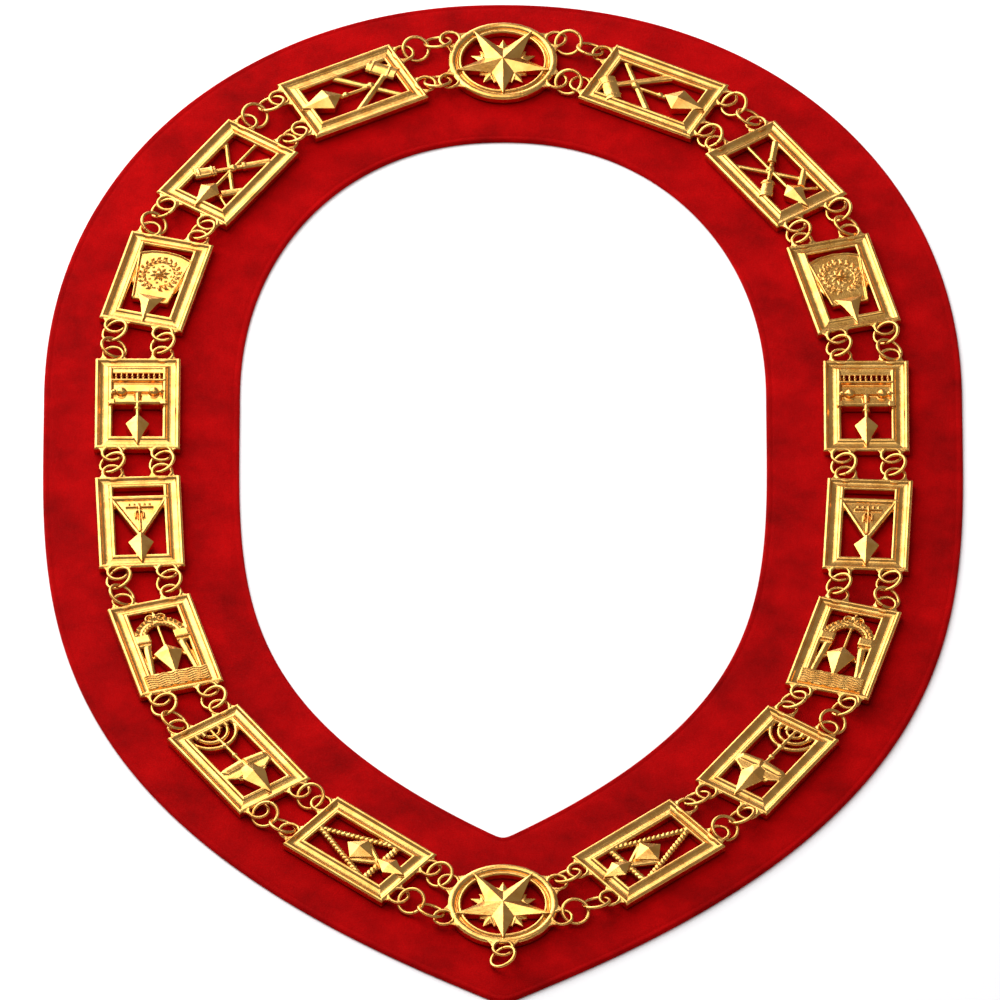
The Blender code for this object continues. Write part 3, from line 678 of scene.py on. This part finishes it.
def drawScroll(bm):
    centre = Vector((0.0, scroll["centre"]))
    addBow(bm, centre, 8.1, math.radians(-20), math.radians(200), 3.7, 2.6, steps=36)
    for side in (-1, 1):
        # leaves along both edges of the arch, from its crown down
        for i in range(scroll["leaves"]):
            angle = math.radians(scroll["firstLeaf"] - scroll["leafStep"] * i)
            for reach, lean, size in ((9.3, -0.3, 3.5), (6.9, 0.35, 2.5)):
                spot = centre + polar(reach, angle)
                heading = angle + 0.5 * halfTurn + lean
                if side < 0:
                    spot.x = -spot.x
                    heading = halfTurn - heading
                addLeaf(bm, spot, heading, size, 0.75 * size, 3.8, 1.2)
        addRod(bm, (side * 6.9, 5.4), (side * 10.0, -19.6), 4.0, 2.6, high=2.6)
        block = ((-3.2, -2.3), (3.2, -2.3), (3.2, 2.3), (-3.2, 2.3))
        addSlab(bm, [(side * 8.1 + x, 5.0 + y) for x, y in block], 3.7, soft=0.7)
        addRod(bm, (side * 5.4, 1.9), (side * 11.0, 1.9), 1.5, high=3.0)
        addBow(bm, (side * 2.3, 16.2), 1.8, 0.0, fullTurn * 0.8, 1.3, 3.3)
        addRod(bm, (side * 5.2, -4.2), (side * 8.4, -7.6), 1.3, high=2.1)
    addBall(bm, (0.0, 17.4), 1.5, 3.6)
    addRod(bm, (0.0, 21.0), (0.0, -3.2), 1.7, high=2.4)
    addSlab(bm, ((-13.3, -23.4), (13.3, -23.4), (13.3, -15.2), (-13.3, -15.2)), 3.1)
    # waves on the panel at the foot
    for row in range(scroll["waves"]):
        y = scroll["firstWave"] - scroll["wavePitch"] * row
        spots = [(-13.0 + 0.65 * i, y + scroll["waveHeight"] * math.sin(0.66 * i))
                 for i in range(scroll["wavePoints"])]
        for first, last in zip(spots, spots[1:]):
            addRod(bm, first, last, 0.75, high=3.6, low=1.8, sides=8)
    addBob(bm, 0.3, -4.4, 6.1, -17.4)


def drawBranches(bm):
    centre = (0.0, 20.8)
    for radius, width in ((10.6, 2.0), (7.1, 1.9), (3.7, 1.6)):
        addBow(bm, centre, radius, halfTurn, fullTurn, width, 2.6)
        for side in (-1, 1):
            addRod(bm, (side * radius, 18.7), (side * radius, 20.8), 2.4, 2.8, high=3.0)
    addRod(bm, (0.0, 21.0), (0.0, -7.1), 1.8, 2.2, high=2.9)
    addBall(bm, (0.0, 9.8), 1.6, 3.3)
    addBall(bm, (0.0, 3.0), 1.5, 3.2)
    base = ((-11.0, -2.6), (-11.0, -7.5), (0.0, -13.7), (11.0, -7.5), (11.0, -2.6))
    addSlab(bm, base, 2.2)
    for side in (-1, 1):
        block = ((1.2, -3.4), (10.9, -4.4), (11.0, -7.4), (6.6, -10.0), (1.4, -9.0))
        addSlab(bm, [(side * x, y) for x, y in block], 3.3, soft=0.6)
        addRod(bm, (side * 0.8, -3.4), (side * 8.8, -3.9), 5.4, 4.8, high=4.3)
        addBall(bm, (side * 8.8, -3.9), 2.4, 4.2)
        addRod(bm, (side * 6.6, -9.8), (side * 1.8, -12.0), 1.3, high=3.0)
    stem = ((0.0, -0.6), (3.4, -5.2), (5.2, -11.4), (0.0, casting["bobTip"]), (-5.2, -11.4), (-3.4, -5.2))
    addKite(bm, stem, (0.0, -10.4), 4.8, 3.1)


def drawRope(bm):
    for side in (-1, 1):
        addRope(bm, (side * 0.2, 20.6), (side * 11.2, -9.8), 2.9, 2.9 - 0.2 * side, pitch=2.0)
        addRod(bm, (side * 5.9, 0.2), (-side * 2.0, -13.3), 2.7, high=2.3)
        addRope(bm, (side * 3.0, -11.0), (side * 11.2, -11.0), 3.3, 2.7, pitch=2.2)
    addRod(bm, (-11.0, -11.0), (11.0, -11.0), 2.4, high=2.2)
    addKite(bm, ((0.0, 6.6), (6.3, 0.3), (0.0, -7.1), (-6.3, 0.3)), (0.0, 0.3), 4.8, 3.0)
    addBob(bm, -9.05, -15.7, 4.6)


# Medallions


# round moulded rim, faceted star with one point down and a toothed crown point in each valley
def drawMedallion(bm, angles, withBottomLug):
    profile = []
    for across, height in medallion["moulding"]:
        x = medallion["radius"] - across * medallion["rimWidth"]
        profile.append(bm.verts.new((x, 0.0, height)))
    edges = [bm.edges.new((vert, profile[(i + 1) % len(profile)])) for i, vert in enumerate(profile)]
    bmesh.ops.spin(bm, geom=[*profile, *edges], axis=(0.0, 0.0, 1.0), cent=(0.0, 0.0, 0.0), angle=fullTurn,
                   steps=medallion["rimSteps"], use_merge=True)
    reach = medallion["radius"] - medallion["rimWidth"] + medallion["starSeat"]
    outline = []
    count = medallion["starPoints"]
    for i in range(count):
        angle = -0.5 * halfTurn + fullTurn * i / count
        outline.append(polar(reach, angle))
        outline.append(polar(medallion["starValley"], angle + 0.5 * fullTurn / count))
    top = addKite(bm, outline, (0.0, 0.0), medallion["starHeight"], medallion["starEdge"])
    # the tips rise onto the rim
    for vert in top:
        if vert.co.xy.length > 1.2 * medallion["starValley"]:
            vert.co.z = medallion["starTip"]
    reach = medallion["crownReach"]
    for i in range(count):
        angle = 0.5 * halfTurn + fullTurn * i / count
        side = [polar(out * reach, angle + turn) for out, turn in medallion["crown"]]
        other = [polar(out * reach, angle - turn) for out, turn in medallion["crown"][:-1]]
        addKite(bm, side + other[::-1], polar(medallion["crownPeak"] * reach, angle),
                medallion["crownHeight"], medallion["crownEdge"])
    spots = [polar(medallion["radius"] + plaque["lugReach"], a) for a in angles]
    spots += [Vector((-spot.x, spot.y)) for spot in spots]
    if withBottomLug:
        spots.append(Vector((0.0, -medallion["radius"] - plaque["lugReach"])))
    for spot in spots:
        addLug(bm, spot.x, spot.y, math.atan2(spot.y, spot.x), plaque["lugReach"] + medallion["footReach"])


# one clean skin over all the shells of a casting
def castMesh(name, draw):
    bm = bmesh.new()
    draw(bm)
    bmesh.ops.recalc_face_normals(bm, faces=bm.faces[:])
    mesh = bpy.data.meshes.new(name)
    bm.to_mesh(mesh)
    bm.free()
    holder = bpy.data.objects.new(name, mesh)
    bpy.context.scene.collection.objects.link(holder)
    skin = holder.modifiers.new("skin", "REMESH")
    skin.mode = "VOXEL"
    skin.voxel_size = casting["grain"]
    skin.use_smooth_shade = True
    soften = holder.modifiers.new("soften", "SMOOTH")
    soften.factor = 0.5
    soften.iterations = casting["softening"]
    thin = holder.modifiers.new("thin", "DECIMATE")
    thin.ratio = casting["thinning"]
    even = holder.modifiers.new("even", "WEIGHTED_NORMAL")
    even.weight = 60
    graph = bpy.context.evaluated_depsgraph_get()
    cast = bpy.data.meshes.new_from_object(holder.evaluated_get(graph))
    bpy.data.objects.remove(holder, do_unlink=True)
    bpy.data.meshes.remove(mesh)
    return cast


def castPlaque(name, emblem):
    def draw(bm):
        addFrame(bm)
        emblem(bm)
    return castMesh(name, draw)


emblems = {
    "gavel": drawGavel,
    "rods": drawRods,
    "shield": drawShield,
    "rails": drawRails,
    "triangle": drawTriangle,
    "scroll": drawScroll,
    "branches": drawBranches,
    "rope": drawRope,
}
castings = {name: castPlaque(name, emblem) for name, emblem in emblems.items()}
castings["top"] = castMesh("top", lambda bm: drawMedallion(bm, medallion["topLugs"], False))
castings["bottom"] = castMesh("bottom", lambda bm: drawMedallion(bm, medallion["bottomLugs"], True))
for name, mesh in castings.items():
    print("cast", name, len(mesh.polygons))

gilding = {
    "colour": "#E6AF5F",
    "deep": "#D29244",
    "roughness": 0.24,
    "unevenness": 0.14,
}


# cast brass, gilded and lightly polished: soft unevenness from the mould under a bright skin
def giltBrass():
    material, tree, shader = newMaterial("cast_brass_gilded_polished")
    place = addNode(tree, "ShaderNodeTexCoord").outputs["Object"]
    # patches a few millimetres wide, where the gilding is thinner, give warmer and paler gold
    patches = addNode(tree, "ShaderNodeTexNoise",
                      {"Vector": place, "Scale": 160.0, "Detail": 4.0}).outputs["Fac"]
    tone = addNode(tree, "ShaderNodeValToRGB", {"Fac": patches})
    tone.color_ramp.elements[0].position = 0.3
    tone.color_ramp.elements[0].color = toLinear(gilding["deep"])
    tone.color_ramp.elements[1].position = 0.6
    tone.color_ramp.elements[1].color = toLinear(gilding["colour"])
    tree.links.new(tone.outputs["Color"], shader.inputs["Base Color"])
    # mould marks about a millimetre wide make the reflections waver
    marks = addNode(tree, "ShaderNodeTexNoise",
                    {"Vector": place, "Scale": 700.0, "Detail": 3.0}).outputs["Fac"]
    bump = addNode(tree, "ShaderNodeBump",
                   {"Height": marks, "Strength": gilding["unevenness"], "Distance": 0.0003})
    tree.links.new(bump.outputs["Normal"], shader.inputs["Normal"])
    shader.inputs["Metallic"].default_value = 1.0
    shader.inputs["Roughness"].default_value = gilding["roughness"]
    return material


gold = giltBrass()


def placeMatrix(centre, turn):
    place = Matrix.Translation((centre.x, centre.y, collar["metalBack"]))
    return place @ Matrix.Rotation(turn, 4, "Z")


# centre and turn of each plaque on one side
def plaqueSpots(places, side):
    spots = []
    count = collar["plaquesPerSide"]
    mean = (count + 1) * collar["linkGap"] / sum(gap for gap, out in places)
    station = medallion["radius"]
    for gap, out in places[:-1]:
        station += gap * mean + 0.5 * plaque["length"]
        spot, along = walk(line, station)
        spot = spot + out * Vector((-along.y, along.x))
        spots.append((Vector((side * spot.x, spot.y + chainShift)), math.atan2(side * along.x, -along.y)))
        station += 0.5 * plaque["length"]
    return spots


def lugSpot(spot, across, up):
    centre, turn = spot
    local = Vector((across * plaque["lugSpread"], up * (0.5 * plaque["length"] + plaque["lugReach"])))
    return centre + Matrix.Rotation(turn, 2) @ local


def medallionLugs(centre, angles, side):
    radius = medallion["radius"] + plaque["lugReach"]
    return [centre + Vector((side * radius * math.cos(a), radius * math.sin(a))) for a in angles]


# Jump rings: bent wire with a fine slit where the ends meet

shuffle = random.Random(jumpRing["seed"])


def addRing(bm, place, sign):
    tilt = sign * (jumpRing["tilt"] + shuffle.uniform(-1.0, 1.0) * jumpRing["tiltSpread"])
    swing = shuffle.uniform(-1.0, 1.0) * jumpRing["swing"]
    slit = shuffle.uniform(0.0, fullTurn)
    matrix = place @ Matrix.Rotation(swing, 4, "Z") @ Matrix.Rotation(tilt, 4, "X")
    matrix = matrix @ Matrix.Rotation(slit, 4, "Z")
    addHoop(bm, jumpRing["radius"], jumpRing["wire"], matrix, jumpRing["wireSides"], jumpRing["roundSteps"],
            fullTurn - jumpRing["slit"])


def linkMesh(name, start, end):
    heading = end - start
    count = 1 + max(0, round((heading.length - 2.0 * jumpRing["radius"]) / jumpRing["pitch"]))
    middle = 0.5 * (start + end)
    height = collar["metalBack"] + plaque["lugHeight"] + jumpRing["lift"]
    base = Matrix.Translation((middle.x, middle.y, height))
    base = base @ Matrix.Rotation(math.atan2(heading.y, heading.x), 4, "Z")
    bm = bmesh.new()
    for i in range(count):
        offset = (i - 0.5 * (count - 1)) * jumpRing["pitch"]
        addRing(bm, base @ Matrix.Translation((offset, 0.0, 0.0)), (-1) ** i)
    bmesh.ops.recalc_face_normals(bm, faces=bm.faces[:])
    mesh = bpy.data.meshes.new(name)
    bm.to_mesh(mesh)
    bm.free()
    mesh.shade_smooth()
    mesh.set_sharp_from_angle(angle=jumpRing["sharpAngle"])
    return mesh


def showCasting(node, design, centre, turn):
    mesh = castings[design].copy()
    mesh.transform(placeMatrix(centre, turn))
    putPiece(f"cast_{node}", mesh, gold, "gilt", node)


topCentre = Vector((0.0, line[0].y + chainShift + medallion["topOut"]))
bottomCentre = Vector((0.0, line[-1].y + chainShift + medallion["bottomIn"]))
showCasting("medallion_top", "top", topCentre, 0.0)
showCasting("medallion_bottom", "bottom", bottomCentre, 0.0)
for side, sideName in ((-1, "left"), (1, "right")):
    spots = plaqueSpots(collar[sideName], side)
    for spot, emblem in zip(spots, emblems):
        showCasting(f"plaque_{emblem}_{sideName}", emblem, *spot)
    topLugs = medallionLugs(topCentre, medallion["topLugs"], side)
    bottomLugs = medallionLugs(bottomCentre, medallion["bottomLugs"], side)
    for index, (chain, outward) in enumerate((("outer", side), ("inner", -side))):
        ends = [topLugs[index]]
        for spot in spots:
            ends += [lugSpot(spot, outward, 1), lugSpot(spot, outward, -1)]
        ends.append(bottomLugs[index])
        for i in range(0, len(ends), 2):
            node = f"links_{sideName}_{i // 2 + 1}_{chain}"
            putPiece(f"wire_{node}", linkMesh(node, ends[i], ends[i + 1]), gold, "gilt", node)
hanging = bottomCentre - Vector((0.0, medallion["radius"] + plaque["lugReach"] + jumpRing["radius"]))
# a single ring needs only a direction, so its two ends lie close together
nudge = Vector((0.0, 0.1))
pendant = linkMesh("pendant", hanging + nudge, hanging - nudge)
putPiece("wire_pendant_ring", pendant, gold, "gilt", "pendant_ring")
for mesh in castings.values():
    bpy.data.meshes.remove(mesh)
print("chain placed")


# Stage, light and camera

studio = {
    "floor": "#FFFEFF",
    "floorHalf": 6.0,
    "world": 0.3,
    # place, aim, width and height in metres, and power in watts
    "boxes": {
        # stands where flat metal mirrors it, more on the left of the chain than on the right
        "backBox": ((-0.88, 0.93, 1.0), (-0.2, -0.1, 0.0), 1.76, 1.1, 24.5),
        "lowBox": ((-0.75, 1.25, 0.3), (0.0, 0.0, 0.03), 1.6, 0.5, 10.0),
        "topBox": ((-0.55, 0.4, 1.75), (0.0, 0.0, 0.0), 1.3, 1.3, 10.5),
        # draws the bright lines along the ridges on the right
        "stripBox": ((0.05, -0.35, 1.8), (0.0, 0.0, 0.0), 1.8, 0.25, 6.0),
    },
}


def makeFloor():
    bm = bmesh.new()
    bmesh.ops.create_grid(bm, x_segments=1, y_segments=1, size=studio["floorHalf"])
    mesh = bpy.data.meshes.new("floor")
    bm.to_mesh(mesh)
    bm.free()
    material, tree, shader = newMaterial("matt_white_paper")
    place = addNode(tree, "ShaderNodeTexCoord").outputs["Object"]
    # the faintest grain, so that the ground isn't dead flat
    grain = addNode(tree, "ShaderNodeTexNoise", {"Vector": place, "Scale": 900.0}).outputs["Fac"]
    bump = addNode(tree, "ShaderNodeBump", {"Height": grain, "Strength": 0.03, "Distance": 0.0002})
    tree.links.new(bump.outputs["Normal"], shader.inputs["Normal"])
    shader.inputs["Base Color"].default_value = toLinear(studio["floor"])
    shader.inputs["Roughness"].default_value = 0.9
    shader.inputs["Specular IOR Level"].default_value = 0.1
    mesh.materials.append(material)
    floor = bpy.data.objects.new("floor", mesh)
    bpy.context.scene.collection.objects.link(floor)


def addBox(name, place, aim, width, height, power):
    light = bpy.data.lights.new(name, "AREA")
    light.shape = "RECTANGLE"
    light.size = width
    light.size_y = height
    light.energy = power
    lamp = bpy.data.objects.new(name, light)
    lamp.location = place
    lamp.rotation_euler = (Vector(aim) - Vector(place)).to_track_quat("-Z", "Y").to_euler()
    bpy.context.scene.collection.objects.link(lamp)


makeFloor()
for name, box in studio["boxes"].items():
    addBox(name, *box)

world = bpy.data.worlds.new("studio")
world.use_nodes = True
background = world.node_tree.nodes["Background"]
background.inputs["Color"].default_value = toLinear("#FFFFFF")
background.inputs["Strength"].default_value = studio["world"]
bpy.context.scene.world = world

view = {
    "elevation": math.radians(45.0),
    "distance": 18.89,
    "aim": (-0.00124, -0.002, 0.0015),
    "lens": 1650.0,
    "sensor": 36.0,
}
camera = bpy.data.cameras.new("camera")
camera.lens = view["lens"]
camera.sensor_width = view["sensor"]
camera.clip_start = 0.1
camera.clip_end = 100.0
cameraPiece = bpy.data.objects.new("camera", camera)
away = Vector((0.0, -math.cos(view["elevation"]), math.sin(view["elevation"])))
cameraPiece.location = Vector(view["aim"]) + view["distance"] * away
cameraPiece.rotation_euler = away.to_track_quat("Z", "Y").to_euler()
bpy.context.scene.collection.objects.link(cameraPiece)
bpy.context.scene.camera = cameraPiece
bpy.context.scene.view_settings.view_transform = "Standard"
bpy.context.scene.view_settings.look = "None"
print("stage set")
